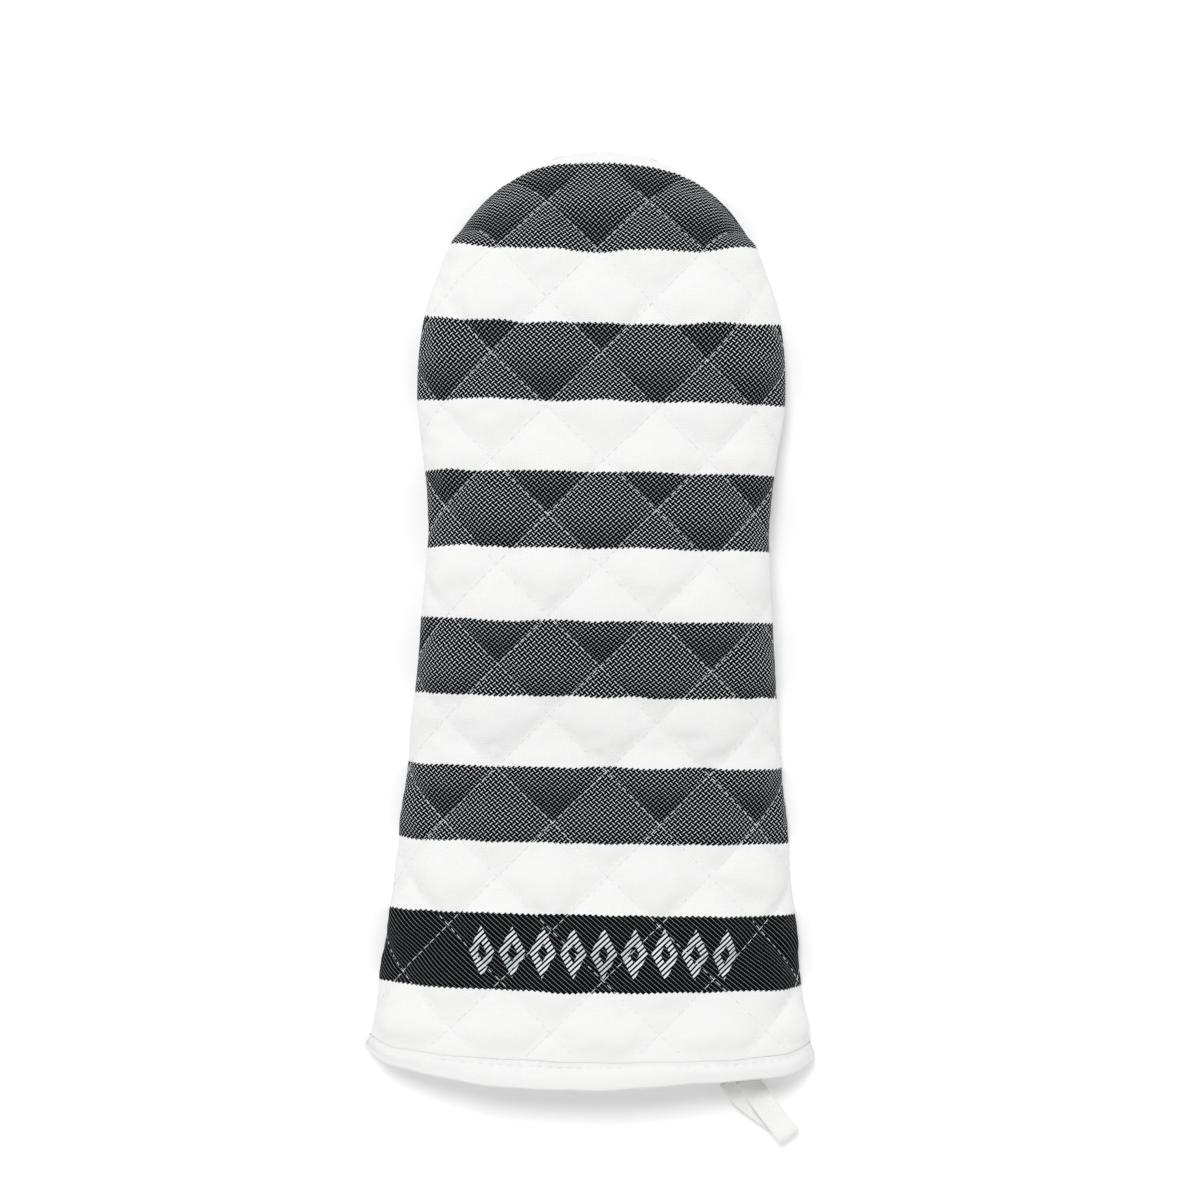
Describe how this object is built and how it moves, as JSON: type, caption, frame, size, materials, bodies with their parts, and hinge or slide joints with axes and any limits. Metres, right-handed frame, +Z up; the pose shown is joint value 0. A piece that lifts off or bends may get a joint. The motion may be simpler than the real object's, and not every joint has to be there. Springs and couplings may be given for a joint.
{
  "type": "oven mitt",
  "caption": "Long quilted gauntlet oven mitt lying palm down, with a folded thumb, a bound cuff, woven bands across it and a hanging loop.",
  "frame": {"origin": "middle of the mitt's box on the surface that it lies on", "axes": "+X across the mitt, +Y from the cuff to the fingertips, +Z up, away from the palm"},
  "size_m": [0.1844, 0.402, 0.0493],
  "materials": {
    "woven_cover": "white cotton with charcoal woven bands, matte",
    "wadding": "cotton wadding, matte",
    "lining": "plain cotton, matte",
    "thread": "cotton thread, matte",
    "binding_tape": "white cotton tape, matte"
  },
  "bodies": {
    "hand": {"back_cover": "woven_cover", "back_wadding": "wadding", "back_lining": "lining", "wrist_palm_cover": "woven_cover", "wrist_palm_wadding": "wadding", "wrist_palm_lining": "lining", "finger_palm_cover": "woven_cover", "finger_palm_wadding": "wadding", "finger_palm_lining": "lining", "side_seam_allowance": "lining", "back_quilting_ties": "thread", "palm_quilting_ties": "thread", "cuff_binding": "binding_tape", "binding_stitches": "thread", "loop_sewn_end": "binding_tape", "loop_bar_tack": "thread"},
    "fingertips": {"tip_back_cover": "woven_cover", "tip_back_wadding": "wadding", "tip_back_lining": "lining", "tip_palm_cover": "woven_cover", "tip_palm_wadding": "wadding", "tip_palm_lining": "lining", "tip_seam_allowance": "lining", "tip_quilting_ties": "thread"},
    "thumb": {"thumb_outer_cover": "woven_cover", "thumb_outer_wadding": "wadding", "thumb_outer_lining": "lining", "thumb_inner_cover": "woven_cover", "thumb_inner_wadding": "wadding", "thumb_inner_lining": "lining", "thumb_seam_allowance": "lining"},
    "loop": {"hanging_loop": "binding_tape"}
  },
  "joints": [
    {"name": "fingertip_bend", "type": "hinge", "parent": "hand", "child": "fingertips", "pos_m": [0, 0.12575, 0.009], "axis": [-1, 0, 0], "range_deg": [0, 60]},
    {"name": "thumb_open", "type": "hinge", "parent": "hand", "child": "thumb", "pos_m": [0, 0.02575, 0], "axis": [-1, 0, 0], "range_deg": [0, 100]},
    {"name": "loop_swing", "type": "hinge", "parent": "hand", "child": "loop", "pos_m": [0.062, -0.17905, 0.0089], "axis": [-1, 0, 0], "range_deg": [-60, 45]}
  ]
}
